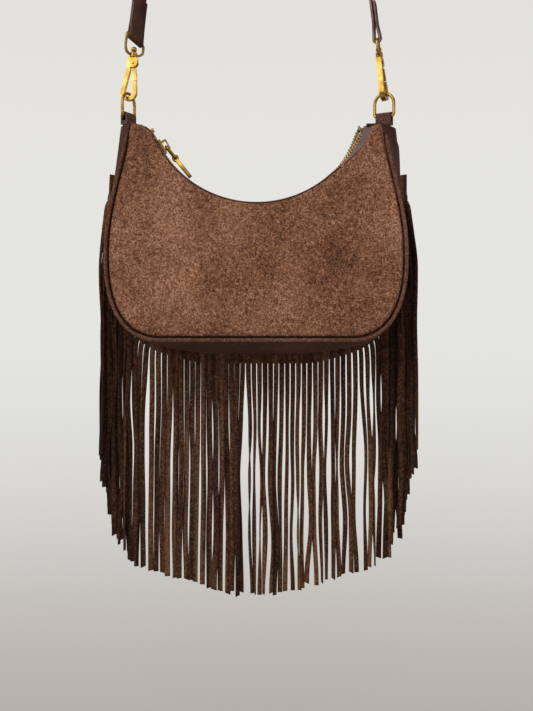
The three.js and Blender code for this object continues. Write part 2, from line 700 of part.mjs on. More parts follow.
// The whole strap as a list of stations from the left end, over the arch, to the right end.
function strapStations() {
  const [left, right] = SIDES;
  const drift = (LOAD_LEAN * (ARCH_Z - STRAP_END_Z)) / 2;
  const rise = (side) => {
    const list = [];
    const start = strapEnd(side).at(-1).at;
    const inward = -Math.sign(side.x);
    const foot = side.x + inward * LOAD_LEAN * STRAP_END_Z;
    for (let i = 1; i <= 12; i += 1) {
      const z = THREE.MathUtils.lerp(STRAP_END_Z, ARCH_Z, i / 12);
      const near = 1 - i / 12;
      const ease = near * near * (3 - 2 * near);
      const turned = THREE.MathUtils.degToRad(THREE.MathUtils.lerp(90, side.strap, ease));
      const centre = foot + inward * drift * (1 - near * near);
      list.push({
        at: new THREE.Vector3(centre + (start.x - foot) * near, start.y * near, z),
        width: new THREE.Vector3(Math.cos(turned), Math.sin(turned), 0),
      });
    }
    return list;
  };
  const radius = RING_X - LOAD_LEAN * STRAP_END_Z - drift;
  const height = STRAP_RISE + STRAP_THICK / 2 - ARCH_Z;
  const arch = [];
  for (let i = 1; i < 24; i += 1) {
    const angle = Math.PI * (1 - i / 24);
    arch.push({
      at: new THREE.Vector3(radius * Math.cos(angle), 0, ARCH_Z + height * Math.sin(angle)),
      width: new THREE.Vector3(0, 1, 0),
    });
  }
  return [
    ...strapEnd(left), ...rise(left), ...arch, ...rise(right).reverse(), ...strapEnd(right).reverse(),
  ];
}

function makeStrap() {
  const stations = strapStations();
  const last = stations.length - 1;
  return slab([1, 1, last], (a, b, c) => {
    const i = Math.round(c * last);
    const here = stations[i];
    const next = stations[Math.min(last, i + 1)].at;
    const along = next.clone().sub(stations[Math.max(0, i - 1)].at).normalize();
    const face = along.cross(here.width).normalize();
    return here.at.clone()
      .addScaledVector(here.width, (a - 0.5) * STRAP_WIDTH)
      .addScaledVector(face, (b - 0.5) * STRAP_THICK);
  });
}

// --- The scene graph ---

const hung = new THREE.Group();
hung.position.z = -STRAP_RISE;

function add(name, geometry, material, parent = hung) {
  const shown = geometry.clone();
  shown.computeVertexNormals();
  const mesh = new THREE.Mesh(shown, material);
  mesh.name = name;
  parent.add(mesh);
  return mesh;
}

add("front_panel", makeFrontPanel(), suede);
add("back_panel", makeBackPanel(), suede);
add("gusset", makeGusset(), gussetSuede);
add("front_piping", makePiping(-BASE_HALF - PIPING_R - 0.1), suede);
add("back_piping", makePiping(BACK_FACE + GAP + PIPING_R), suede);
add("lining", makeLining(), cloth);
add("fringe", makeFringe(), gussetSuede);

for (const [name, side] of [["front", -1], ["back", 1]]) {
  add("zip_tape_" + name, makeTape(side), cloth);
  add("zip_teeth_" + name, makeTeeth(side), brass);
  const [low, high] = side < 0 ? [-3.2, -0.8] : [0.8, 3.2];
  add("zip_top_stop_" + name, makeStop(TEETH_FROM - 0.035, low, high), brass);
}
add("zip_bottom_stop", makeStop(TEETH_TO + 0.026, -3.2, 3.2), brass);

add("slider", makeSlider(), brass);
const pullerPivot = wrap(
  SLIDER_AT * ZIP_R + SLIDER_LENGTH / 2 - BAIL_SET_BACK - BAIL_POST - LINK_R - GAP,
  0,
  BAIL_TOP - BAIL_BAR - LINK_R - 1.5 * GAP,
);
const puller = new THREE.Group();
puller.position.copy(pullerPivot);
puller.rotation.y = -PULLER_TILT;
hung.add(puller);
add("puller_link", makePullerLink(), brass, puller);
const pullerBar = add("puller_bar", makePullerBar(), brass, puller);
pullerBar.position.x = LINK_LENGTH;

for (const side of SIDES) {
  const turned = (angle, lean) => {
    const group = new THREE.Group();
    group.position.x = side.x;
    group.rotation.set(0, lean, THREE.MathUtils.degToRad(angle));
    hung.add(group);
    return group;
  };
  const ringGroup = turned(side.ring, 0);
  add("d_ring_" + side.name, makeRing(), brass, ringGroup);
  add("ring_tab_" + side.name, makeRingTab(), leather, ringGroup);
  const hookGroup = turned(side.hook, loadLean(side));
  add("hook_body_" + side.name, makeHookBody(), brass, hookGroup);
  add("hook_gate_" + side.name, makeGate(), brass, hookGroup);
  add("gate_pin_" + side.name, makeGatePin(), brass, hookGroup);
  add("gate_spring_" + side.name, makeGateSpring(), brass, hookGroup);
  add("swivel_eye_" + side.name, makeEye(side.slant), brass, turned(side.strap, loadLean(side)));
}
add("strap", makeStrap(), leather);

const bag = new THREE.Group();
bag.add(hung);

export default bag;
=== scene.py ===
"""A small fringed suede shoulder bag hanging from its strap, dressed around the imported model.

Lengths are in metres. Heights in the bag's own forms are measured from the line on which the two
snap hooks carry the two D-rings, and hang() drops them to their place under the strap's apex.
"""
import json
import math

import bmesh
import bpy
import numpy as np
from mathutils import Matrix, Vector


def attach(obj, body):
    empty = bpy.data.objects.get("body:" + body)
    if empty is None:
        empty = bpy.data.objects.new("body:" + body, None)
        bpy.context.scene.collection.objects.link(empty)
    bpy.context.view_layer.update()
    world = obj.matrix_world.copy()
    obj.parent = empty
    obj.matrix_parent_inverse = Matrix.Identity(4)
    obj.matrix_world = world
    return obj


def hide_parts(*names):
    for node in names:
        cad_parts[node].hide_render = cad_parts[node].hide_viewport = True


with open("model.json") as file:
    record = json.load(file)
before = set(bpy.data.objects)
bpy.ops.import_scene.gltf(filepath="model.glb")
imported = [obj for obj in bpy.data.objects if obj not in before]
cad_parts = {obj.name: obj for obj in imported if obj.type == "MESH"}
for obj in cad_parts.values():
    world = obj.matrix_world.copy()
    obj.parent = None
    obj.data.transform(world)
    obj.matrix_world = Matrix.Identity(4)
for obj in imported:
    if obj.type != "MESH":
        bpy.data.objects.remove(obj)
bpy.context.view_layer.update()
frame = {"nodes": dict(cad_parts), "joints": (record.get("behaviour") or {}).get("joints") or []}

joints = {joint["name"]: joint for joint in frame["joints"]}

# Driving dimensions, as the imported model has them
CONTACT_Z = joints["bag_swing"]["pos_m"][2]
RING_X = joints["hook_swivel_right"]["pos_m"][0]
SCOOP_Z = joints["zip_slide"]["pos_m"][2] - CONTACT_Z
HORN_X, HORN_Z = 0.112, -0.025
SIDE_X, SIDE_Z = 0.1245, -0.138
CORNER_X, BASE_Z = 0.078, -0.207
SCOOP_R, SCOOP_END = 0.0936, math.radians(73.1)
MOUTH_HALF, BASE_HALF = 0.010, 0.026
BACK_DROP, HORN_FLARE = 0.011, 0.04
SUEDE, GAP, PIPING_R = 0.0018, 0.0003, 0.0015
FRINGE_THICK, HEADER_IN = 0.0014, 0.004
HEADER_BASE, HEADER_SIDE, SIDE_EDGE = 0.007, 0.0025, 0.002
STRANDS, STRAND_LENGTH, HEM_RISE = 94, 0.206, 0.011
ZIP_R, TAPE_EDGE, TAPE_THICK = 0.0929, 0.0114, 0.0006
TOOTH_PITCH, TEETH_OUTER = 0.0026, 0.0034
TEETH_FROM, TEETH_TO = math.radians(-68.4), math.radians(69.4)
SLIDER_AT = math.radians(-60.5)
WIRE_R, RING_HALF, RING_BAR_Z = 0.0014, 0.0087, -0.017
EYE_R, EYE_BAR_Z = 0.0012, 0.0485
STRAP_WIDTH, STRAP_THICK, LOAD_LEAN, ARCH_Z = 0.013, 0.0022, 0.12, 0.200
PANEL_INSET = 2 * PIPING_R + 2 * GAP
BACK_FACE = BASE_HALF + GAP + FRINGE_THICK
# Each side's hook line, the turns of its strap end and ring about it, in degrees, and the strap's
# slant round the eye's bar
SIDES = {
    "left": {"x": -RING_X, "strap": 35, "ring": 62, "slant": -0.45},
    "right": {"x": RING_X, "strap": 78, "ring": -30, "slant": 0.35},
}
TOUCH = 0.0007  # half the slack between a ring and its hook

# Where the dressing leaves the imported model: a wider right horn, smaller tabs and fuller strands
RIGHT_FLARE = 0.035
HEADER_TAB, HEADER_TOP, TAB_FOOT, STRANDS_TOP = 0.0050, 0.068, 0.094, 0.107
STRAND_WIDTH, SIDE_EXTRA = 0.0046, 0.020


# --- Node helpers ---

def new_material(name):
    """A node material, with its nodes, its links and its shader."""
    material = bpy.data.materials.new(name)
    material.use_nodes = True
    tree = material.node_tree
    return material, tree.nodes, tree.links, tree.nodes["Principled BSDF"]


def linear(colour):
    """An sRGB colour of 0 to 255 as linear values with alpha."""
    def one(value):
        value /= 255
        return value / 12.92 if value <= 0.04045 else ((value + 0.055) / 1.055) ** 2.4
    return tuple(one(value) for value in colour) + (1.0,)


def object_point(nodes):
    return nodes.new("ShaderNodeTexCoord").outputs["Object"]


def axes(nodes, links, point):
    split = nodes.new("ShaderNodeSeparateXYZ")
    links.new(point, split.inputs[0])
    return split.outputs


def remap(nodes, links, source, low=0.0, high=1.0, to_low=0.0, to_high=1.0):
    """A value that runs from to_low to to_high while the source runs from low to high."""
    node = nodes.new("ShaderNodeMapRange")
    spans = {"From Min": low, "From Max": high, "To Min": to_low, "To Max": to_high}
    for socket, value in spans.items():
        node.inputs[socket].default_value = value
    links.new(source, node.inputs["Value"])
    return node.outputs[0]


def ramp_node(nodes, links, source, stops, interpolation="LINEAR"):
    """A colour ramp over the source, from (position, sRGB colour) stops."""
    ramp = nodes.new("ShaderNodeValToRGB")
    ramp.color_ramp.interpolation = interpolation
    elements = ramp.color_ramp.elements
    while len(elements) < len(stops):
        elements.new(0.5)
    for element, (at, colour) in zip(elements, stops):
        element.position = at
        element.color = linear(colour)
    links.new(source, ramp.inputs[0])
    return ramp.outputs[0]


# --- Camera, light and stage ---

CAMERA_AT = Vector((0.0085, -0.9, CONTACT_Z - 0.218))
LENS = 54.2  # mm
LIT_AT = (0, 0, CONTACT_Z - 0.2)
# Each light's name, place, size, power in watts and colour
LIGHTS = [("window", (-1.3, -1.5, 0.9), 2.0, 36, (1.0, 0.98, 0.95)),
          ("fill", (1.7, -1.2, -0.2), 1.4, 4.5, (1.0, 0.97, 0.93)),
          ("wall_bounce", (0.2, 1.6, 0.3), 1.6, 9, (1.0, 0.99, 0.97))]
# The wall's colours from the lowest to the highest view direction, and the height of the highest
WALL = [(0.0, (173, 168, 162)), (0.18, (196, 193, 187)), (0.34, (219, 218, 213)),
        (0.52, (232, 232, 227)), (0.8, (229, 228, 224)), (1.0, (226, 224, 219))]
WALL_REACH = 0.34
ROOM_COLOUR, ROOM_LIGHT = (0.93, 0.95, 1.0, 1), 0.42
FLOOR_Z, FLOOR_HALF = -1.9, 3.0


def make_camera():
    data = bpy.data.cameras.new("camera")
    data.lens = LENS
    camera = bpy.data.objects.new("camera", data)
    camera.location = CAMERA_AT
    camera.rotation_euler = (math.radians(90), 0, 0)
    bpy.context.scene.collection.objects.link(camera)
    bpy.context.scene.camera = camera


def area_light(name, at, size, power, colour):
    data = bpy.data.lights.new(name, "AREA")
    data.shape = "DISK"
    data.size = size
    data.energy = power
    data.color = colour
    light = bpy.data.objects.new(name, data)
    light.location = at
    light.rotation_euler = (Vector(LIT_AT) - Vector(at)).to_track_quat("-Z", "Y").to_euler()
    bpy.context.scene.collection.objects.link(light)


def make_world():
    """A pale room: the camera sees an even wall that darkens downward, and the object a softer light."""
    world = bpy.data.worlds.new("room")
    bpy.context.scene.world = world
    world.use_nodes = True
    nodes, links = world.node_tree.nodes, world.node_tree.links
    place = nodes.new("ShaderNodeTexCoord")
    up = axes(nodes, links, place.outputs["Generated"])["Z"]
    height = remap(nodes, links, up, -WALL_REACH, WALL_REACH)
    seen = nodes["Background"]
    links.new(ramp_node(nodes, links, height, WALL, "B_SPLINE"), seen.inputs["Color"])
    room = nodes.new("ShaderNodeBackground")
    room.inputs["Color"].default_value = ROOM_COLOUR
    room.inputs["Strength"].default_value = ROOM_LIGHT
    path = nodes.new("ShaderNodeLightPath")
    pick = nodes.new("ShaderNodeMixShader")
    links.new(path.outputs["Is Camera Ray"], pick.inputs[0])
    links.new(room.outputs[0], pick.inputs[1])
    links.new(seen.outputs[0], pick.inputs[2])
    links.new(pick.outputs[0], nodes["World Output"].inputs["Surface"])


def make_floor():
    material, nodes, links, shader = new_material("pale_floor")
    grain = nodes.new("ShaderNodeTexNoise")
    grain.inputs["Scale"].default_value = 40
    tone = ramp_node(nodes, links, grain.outputs[0], [(0, (205, 203, 198)), (1, (214, 212, 207))])
    links.new(tone, shader.inputs["Base Color"])
    shader.inputs["Roughness"].default_value = 0.9
    mesh = bpy.data.meshes.new("floor")
    corners = [(-1, -1), (1, -1), (1, 1), (-1, 1)]
    mesh.from_pydata([(x * FLOOR_HALF, y * FLOOR_HALF, FLOOR_Z) for x, y in corners], [], [(0, 1, 2, 3)])
    mesh.materials.append(material)
    floor = bpy.data.objects.new("floor", mesh)
    bpy.context.scene.collection.objects.link(floor)


bpy.context.scene.view_settings.view_transform = "Standard"
make_camera()
for light_values in LIGHTS:
    area_light(*light_values)
make_world()
make_floor()


# --- Materials ---

def noise_node(nodes, links, scale, detail=4.0, roughness=0.6, stretch=None):
    """A noise in the object's own coordinates; stretch scales each axis before it."""
    place = object_point(nodes)
    texture = nodes.new("ShaderNodeTexNoise")
    texture.inputs["Scale"].default_value = scale
    texture.inputs["Detail"].default_value = detail
    texture.inputs["Roughness"].default_value = roughness
    if stretch is None:
        links.new(place, texture.inputs["Vector"])
    else:
        mapping = nodes.new("ShaderNodeMapping")
        mapping.inputs["Scale"].default_value = stretch
        links.new(place, mapping.inputs["Vector"])
        links.new(mapping.outputs[0], texture.inputs["Vector"])
    return texture.outputs[0]


def maths(nodes, links, operation, a, b):
    """The outcome of an operation on two numbers or node outputs."""
    node = nodes.new("ShaderNodeMath")
    node.operation = operation
    for socket, value in zip(node.inputs, (a, b)):
        if isinstance(value, (int, float)):
            socket.default_value = value
        else:
            links.new(value, socket)
    return node.outputs[0]


def mixed(nodes, links, a, share_a, b, share_b):
    """Two values, each times its share, added."""
    return maths(nodes, links, "ADD", maths(nodes, links, "MULTIPLY", a, share_a),
                 maths(nodes, links, "MULTIPLY", b, share_b))


def bump(nodes, links, shader, source, strength, distance):
    node = nodes.new("ShaderNodeBump")
    node.inputs["Strength"].default_value = strength
    node.inputs["Distance"].default_value = distance
    links.new(source, node.inputs["Height"])
    links.new(node.outputs[0], shader.inputs["Normal"])


def side_shade(nodes, links, depth):
    """How much darker the fringe is in the bundles beyond the bag's sides, below their roots."""
    place = axes(nodes, links, object_point(nodes))
    outward = maths(nodes, links, "ABSOLUTE", place["X"], 0)
    side = remap(nodes, links, outward, 0.092, 0.118, to_high=depth)
    below = remap(nodes, links, place["Z"], CONTACT_Z - 0.085, CONTACT_Z - 0.115)
    return maths(nodes, links, "MULTIPLY", side, below)


def suede_material(name, dark, mid, light, streaks=0.0, shaded_sides=0.0):
    """Napped suede: a fine speckled grain over soft brushed patches, with the nap's pale sheen.
    streaks adds tones that change from one hanging strand to the next, and shaded_sides darkens
    the bundles beyond the bag's sides."""
    material, nodes, links, shader = new_material(name)
    grain = noise_node(nodes, links, 760, 2, 0.65)
    tuft = noise_node(nodes, links, 330, 3, 0.6)
    patch = noise_node(nodes, links, 26, 4, 0.55)
    brushed = noise_node(nodes, links, 9, 3, 0.5, stretch=(2.2, 2.2, 1.0))
    strand = noise_node(nodes, links, 60, 1, 0.4, stretch=(3.0, 0.6, 0.06))
    nap = mixed(nodes, links, grain, 0.65, tuft, 0.35)
    broad = mixed(nodes, links, patch, 0.5, brushed, 0.5)
    broad_share, strand_share = 0.40 - 0.2 * streaks, 0.6 * streaks
    tone = mixed(nodes, links, broad, broad_share, strand, strand_share)
    total = maths(nodes, links, "ADD", nap, tone)
    centre = 0.5 * (1.0 + 0.40 + 0.4 * streaks)
    level = maths(nodes, links, "SUBTRACT", total, centre - 0.5)
    if shaded_sides:
        level = maths(nodes, links, "SUBTRACT", level, side_shade(nodes, links, shaded_sides))
    colour = ramp_node(nodes, links, level, [(0.34, dark), (0.5, mid), (0.66, light)])
    links.new(colour, shader.inputs["Base Color"])
    shader.inputs["Roughness"].default_value = 0.95
    shader.inputs["Specular IOR Level"].default_value = 0.1
    shader.inputs["Sheen Weight"].default_value = 0.10
    shader.inputs["Sheen Roughness"].default_value = 0.5
    shader.inputs["Sheen Tint"].default_value = linear((214, 170, 140))
    bump(nodes, links, shader, nap, 0.8, 0.0010)
    return material


def uneven_gloss(nodes, links, shader, source, low, high):
    links.new(remap(nodes, links, source, to_low=low, to_high=high), shader.inputs["Roughness"])


def leather_material(name, dark, mid, light, roughness):
    """Smooth strap leather: fine pores and creases, with a soft coat of wax."""
    material, nodes, links, shader = new_material(name)
    cloud = noise_node(nodes, links, 55, 5, 0.6)
    pores = nodes.new("ShaderNodeTexVoronoi")
    pores.inputs["Scale"].default_value = 900
    links.new(object_point(nodes), pores.inputs["Vector"])
    colour = ramp_node(nodes, links, cloud, [(0.32, dark), (0.52, mid), (0.72, light)])
    links.new(colour, shader.inputs["Base Color"])
    uneven_gloss(nodes, links, shader, cloud, roughness - 0.08, roughness + 0.16)
    shader.inputs["Specular IOR Level"].default_value = 0.22
    height = maths(nodes, links, "ADD", pores.outputs["Distance"], cloud)
    bump(nodes, links, shader, height, 0.25, 0.0003)
    return material


def brass_material(name, dark, mid, light, roughness):
    """Gold-plated hardware with faint polishing lines and an uneven cloud of darker and paler tone."""
    material, nodes, links, shader = new_material(name)
    cloud = noise_node(nodes, links, 130, 4, 0.6)
    lines = noise_node(nodes, links, 260, 3, 0.6, stretch=(6.0, 6.0, 0.7))
    colour = ramp_node(nodes, links, cloud, [(0.3, dark), (0.5, mid), (0.7, light)])
    links.new(colour, shader.inputs["Base Color"])
    shader.inputs["Metallic"].default_value = 1.0
    uneven_gloss(nodes, links, shader, lines, roughness - 0.07, roughness + 0.14)
    bump(nodes, links, shader, lines, 0.06, 0.0002)
    return material


def cloth_material(name, dark, mid, light, threads):
    """A fine woven tape: two sets of crossing threads, with a herringbone lean."""
    material, nodes, links, shader = new_material(name)
    place = object_point(nodes)
    waves = []
    for lean in (0.9, -0.9):
        mapping = nodes.new("ShaderNodeMapping")
        mapping.inputs["Rotation"].default_value = (0, lean, 0)
        links.new(place, mapping.inputs["Vector"])
        wave = nodes.new("ShaderNodeTexWave")
        wave.inputs["Scale"].default_value = threads
        wave.inputs["Distortion"].default_value = 1.2
        links.new(mapping.outputs[0], wave.inputs["Vector"])
        waves.append(wave.outputs["Fac"])
    weave = maths(nodes, links, "MAXIMUM", *waves)
    cloud = noise_node(nodes, links, 90, 3, 0.6)
    tone = maths(nodes, links, "MULTIPLY", maths(nodes, links, "ADD", weave, cloud), 0.5)
    colour = ramp_node(nodes, links, tone, [(0.25, dark), (0.5, mid), (0.8, light)])
    links.new(colour, shader.inputs["Base Color"])
    shader.inputs["Roughness"].default_value = 0.85
    shader.inputs["Sheen Weight"].default_value = 0.15
    bump(nodes, links, shader, weave, 0.35, 0.0003)
    return material


SUEDE_PANEL = suede_material("suede_panel", (64, 38, 26), (131, 87, 63), (190, 142, 112))
# painted shade: a darker copy of the panel suede, laid on the groove beside the piping
SUEDE_SEAM_SHADE = suede_material("suede_pressed_seam", (34, 20, 14), (58, 36, 26), (92, 62, 47))
SUEDE_TRIM = suede_material("suede_trim", (66, 41, 30), (100, 66, 49), (146, 105, 84))
# painted shade: the gusset takes a darker copy of the panels' suede, for the shade on the band under and
# beside them
SUEDE_GUSSET_SHADED = suede_material("suede_gusset", (43, 26, 19), (67, 43, 33), (99, 70, 56))
SUEDE_FRINGE = suede_material("suede_fringe", (32, 19, 12), (72, 46, 32), (122, 84, 61), 0.9, 0.10)
RAW_EDGE = suede_material("suede_raw_edge", (112, 84, 76), (142, 108, 98), (176, 142, 130))
TAB_LEATHER = suede_material("tab_suede", (62, 40, 35), (90, 62, 54), (128, 98, 88))
STRAP_LEATHER = leather_material("strap_leather", (46, 24, 16), (70, 40, 28), (98, 60, 44), 0.62)
STRAP_EDGE = leather_material("strap_raw_edge", (120, 88, 82), (152, 118, 110), (184, 152, 142), 0.8)
BRASS = brass_material("gold_brass", (140, 102, 38), (184, 141, 58), (214, 177, 92), 0.32)
ZIP_BRASS = brass_material("zip_brass", (150, 112, 58), (186, 148, 86), (214, 180, 118), 0.32)
SPRING_STEEL = brass_material("spring_steel", (84, 66, 46), (112, 90, 62), (146, 122, 90), 0.35)
TAPE_CLOTH = cloth_material("tape_cloth", (66, 46, 44), (98, 72, 68), (132, 102, 96), 260)
LINING_CLOTH = cloth_material("lining_cloth", (38, 27, 24), (56, 41, 37), (80, 62, 56), 320)


# --- Mesh builders ---

def hang(points):
    """Points given from the contact line, at their place in the row frame."""
    placed = np.array(points, float)
    placed[..., 2] += CONTACT_Z
    return placed


def mesh_piece(name, points, faces, materials, indices=None):
    """A smooth-shaded mesh object from points, faces and materials, one material index a face."""
    mesh = bpy.data.meshes.new(name)
    mesh.from_pydata([tuple(p) for p in np.asarray(points, float).tolist()], [], faces)
    for material in materials:
        mesh.materials.append(material)
    mesh.polygons.foreach_set("use_smooth", [True] * len(faces))
    if indices is not None:
        mesh.polygons.foreach_set("material_index", indices)
    mesh.update()
    built = bmesh.new()
    built.from_mesh(mesh)
    bmesh.ops.recalc_face_normals(built, faces=built.faces)
    built.to_mesh(mesh)
    built.free()
    piece = bpy.data.objects.new(name, mesh)
    bpy.context.scene.collection.objects.link(piece)
    return piece


def shell(outer, inner):
    """The points and faces of a closed shell between two (u, v) grids, how many of the faces are
    its two sheets, and which of the four edges each further face closes."""
    nu, nv = outer.shape[:2]
    points = np.concatenate([outer.reshape(-1, 3), inner.reshape(-1, 3)])
    under = nu * nv
    faces, rim = [], []
    for i in range(nu - 1):
        for j in range(nv - 1):
            a, b, c, d = i * nv + j, (i + 1) * nv + j, (i + 1) * nv + j + 1, i * nv + j + 1
            faces.append((a, b, c, d))
            faces.append((under + d, under + c, under + b, under + a))
    body = len(faces)
    edges = [[i * nv for i in range(nu)], [(nu - 1) * nv + j for j in range(nv)],
             [i * nv + nv - 1 for i in range(nu - 1, -1, -1)], [j for j in range(nv - 1, -1, -1)]]
    for side, line in enumerate(edges):
        for a, b in zip(line, line[1:]):
            faces.append((b, a, under + a, under + b))
            rim.append(side)
    return points, faces, body, rim


def unit(vectors):
    return vectors / np.maximum(np.linalg.norm(vectors, axis=-1, keepdims=True), 1e-12)


def directions(points, closed=False):
    """The unit tangent at each point of a line."""
    if closed:
        return unit(np.roll(points, -1, 0) - np.roll(points, 1, 0))
    return unit(np.gradient(points, axis=0))


def carried(points, closed=False):
    """A side vector, Y at the line's start, carried along it without twisting about it."""
    along = directions(points, closed)
    side = np.array((0.0, 1.0, 0.0))
    sides = []
    for way in along:
        side = side - way * side.dot(way)
        side /= np.linalg.norm(side)
        sides.append(side.copy())
    return np.array(sides), along


def rings_mesh(rings, closed):
    """Points and faces of a tube whose cross-sections are the rows of an (n, k, 3) array."""
    n, k = rings.shape[:2]
    faces = []
    for i in range(n if closed else n - 1):
        a, b = i * k, ((i + 1) % n) * k
        for j in range(k):
            faces.append((a + j, a + (j + 1) % k, b + (j + 1) % k, b + j))
    if not closed:
        faces.append(tuple(range(k - 1, -1, -1)))
        faces.append(tuple((n - 1) * k + j for j in range(k)))
    return rings.reshape(-1, 3), faces


def tube(points, radius, sides, closed=False):
    """A round bar along a line. radius is one number or one for each point."""
    side, along = carried(points, closed)
    other = np.cross(along, side)
    angle = np.linspace(0, 2 * math.pi, sides, endpoint=False)
    radius = np.broadcast_to(np.asarray(radius, float), len(points))[:, None, None]
    spokes = side[:, None] * np.cos(angle)[None, :, None] + other[:, None] * np.sin(angle)[None, :, None]
    return rings_mesh(points[:, None] + spokes * radius, closed)


def joined(*parts):
    """Several (points, faces) as one."""
    points, faces, start = [], [], 0
    for part_points, part_faces in parts:
        points.append(np.asarray(part_points, float).reshape(-1, 3))
        faces += [tuple(start + i for i in face) for face in part_faces]
        start += len(points[-1])
    return np.concatenate(points), faces


def smooth_line(stations, count):
    """A Catmull-Rom line through the stations, sampled evenly along its length."""
    between = 24
    stations = np.asarray(stations, float)
    ends = np.vstack([2 * stations[0] - stations[1], stations, 2 * stations[-1] - stations[-2]])
    dense = []
    for i in range(len(stations) - 1):
        a, b, c, d = ends[i:i + 4]
        t = np.linspace(0, 1, between, endpoint=False)[:, None]
        dense.append(0.5 * (2 * b + (c - a) * t + (2 * a - 5 * b + 4 * c - d) * t ** 2
                            + (3 * b - a - 3 * c + d) * t ** 3))
    dense = np.vstack(dense + [stations[-1:]])
    return evenly(dense, count)


def evenly(line, count):
    """A line of any columns resampled evenly by the length of its first three."""
    steps = np.linalg.norm(np.diff(line[:, :3], axis=0), axis=1)
    at = np.concatenate([[0], np.cumsum(steps)])
    want = np.linspace(0, at[-1], count)
    return np.stack([np.interp(want, at, column) for column in line.T], axis=1)


def smoothstep(x, low, high):
    t = np.clip((np.asarray(x, float) - low) / (high - low), 0, 1)
    return t * t * (3 - 2 * t)


def wander(count, scale, seed):
    """A smooth random line of that many values in about -1 to 1, with features "scale" steps long."""
    local = np.random.default_rng(seed)
    knots = local.normal(0, 0.6, int(count / scale) + 4)
    x = np.linspace(0, len(knots) - 3, count)
    i = np.floor(x).astype(int)
    t = x - i
    t = t * t * (3 - 2 * t)
    return knots[i] * (1 - t) + knots[i + 1] * t


def dressed(piece, body, slot, *nodes):
    """Rides a piece on its body and lets it stand for its CAD nodes; its slot is not used."""
    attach(piece, body)
    if nodes:
        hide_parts(*nodes)
    return piece


# --- The bag's form ---

FULL_R = 0.190  # from the scoop's centre to where the bag has its full depth
HORN_LOW_Z, HORN_FAR_R = -0.125, 0.113  # where the horns' flare starts and where it is complete
DROP_FROM_X, DROP_TO_X = 0.035, 0.118  # where the back's drop starts to fade and where it ends
ROLL_RIGHT, ROLL_LEFT = 0.0085, 0.0075  # how far the mouth's edge rolls away at each horn


def cubic(a, b, c, d):
    """A cubic curve from a to d with the handles b and c."""
    t = np.linspace(0, 1, 160)[:, None]
    a, b, c, d = (np.array(p, float) for p in (a, b, c, d))
    return (1 - t) ** 3 * a + 3 * (1 - t) ** 2 * t * b + 3 * (1 - t) * t ** 2 * c + t ** 3 * d


def make_seam_line():
    """The seam from the left horn, under the base, to the right horn, in X and Z."""
    upper = cubic((-HORN_X, HORN_Z), (-HORN_X - 0.005, HORN_Z - 0.040),
                  (-SIDE_X, SIDE_Z + 0.042), (-SIDE_X, SIDE_Z))
    lower = cubic((-SIDE_X, SIDE_Z), (-SIDE_X, SIDE_Z - 0.040),
                  (-CORNER_X - 0.033, BASE_Z), (-CORNER_X, BASE_Z))
    left = np.vstack([upper, lower[1:]])
    right = left[::-1] * (-1, 1)
    line = np.vstack([left, right])
    length = np.concatenate([[0], np.cumsum(np.linalg.norm(np.diff(line, axis=0), axis=1))])
    return line, length / length[-1], length[-1]


SEAM_LINE, SEAM_AT, SEAM_LENGTH = make_seam_line()


def on_seam(t):
    """The point at fraction t of the seam, in X and Z."""
    return np.stack([np.interp(t, SEAM_AT, SEAM_LINE[:, k]) for k in (0, 1)], axis=-1)


def seam_out(t):
    """The direction out of the bag at fraction t of the seam, in X and Z."""
    step = 0.004
    along = on_seam(np.clip(np.asarray(t) + step, 0, 1)) - on_seam(np.clip(np.asarray(t) - step, 0, 1))
    along = unit(along)
    return np.stack([along[..., 1], -along[..., 0]], axis=-1)


def seam(t, out):
    """The point that far out of the bag from fraction t of the seam, in X and Z."""
    return on_seam(t) + seam_out(t) * np.asarray(out)[..., None]


def scoop(t, r):
    """The point at fraction t of the mouth on an arc of radius r about the scoop's centre."""
    angle = (2 * np.asarray(t) - 1) * SCOOP_END
    return np.stack([r * np.sin(angle), SCOOP_Z - r * np.cos(angle)], axis=-1)


def settle(x, y, z):
    """From the flat layout to the bag as it hangs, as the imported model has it, with the spare
    width that the back of the right horn gets here."""
    r = np.hypot(x, z - SCOOP_Z)
    side = np.clip(y / BASE_HALF, -1, 1)
    fullness = smoothstep(r, SCOOP_R, FULL_R)
    inset = (BASE_HALF - MOUTH_HALF) * (1 - fullness)
    horn = smoothstep(z, HORN_LOW_Z, HORN_Z) * smoothstep(r, SCOOP_R, HORN_FAR_R)
    middle = 1 - smoothstep(np.abs(x), DROP_FROM_X, DROP_TO_X)
    spare = RIGHT_FLARE * np.clip(side, 0, 1) * (np.asarray(x) > 0)
    return np.stack([x * (1 + (HORN_FLARE * side + spare) * horn), y - side * inset,
                     z - BACK_DROP * (side + 1) * fullness * middle / 2], axis=-1)


def mouth_flare(t):
    """How far the front panel's folded edge rolls away from the zip at the right horn."""
    return ROLL_RIGHT * smoothstep(t, 0.78, 0.99)


def horn_corner(t):
    """The rounding of both panels' upper corner at the left horn."""
    return ROLL_LEFT * (1 - smoothstep(t, -0.02, 0.05)) ** 1.5


def chain_roll(t, y):
    """How far the zip drops below its arc: tilted forward at the right horn, tucked in at the left."""
    back = -0.3 * np.minimum(y / TEETH_OUTER, (TAPE_EDGE - y) / (TAPE_EDGE - TEETH_OUTER))
    return horn_corner(t) + mouth_flare(t) * np.where(y < 0, -y / TAPE_EDGE, np.minimum(back, 0))


def across(t, w, mouth, inset):
    """The point at fraction w of the way from the mouth to the seam, in X and Z, and that way's length."""
    top, low = scoop(t, mouth), seam(t, -inset)
    return top + (low - top) * np.asarray(w)[..., None], np.linalg.norm(low - top, axis=-1)


# --- The panels ---

PANEL_GRID = (150, 64)
SEAM_BAND = 0.015  # the share of a panel's depth that lies in the groove beside its piping, given painted shade there
CROWN, GROOVE, EDGE_ROLL = 0.0042, 0.0022, 0.0007


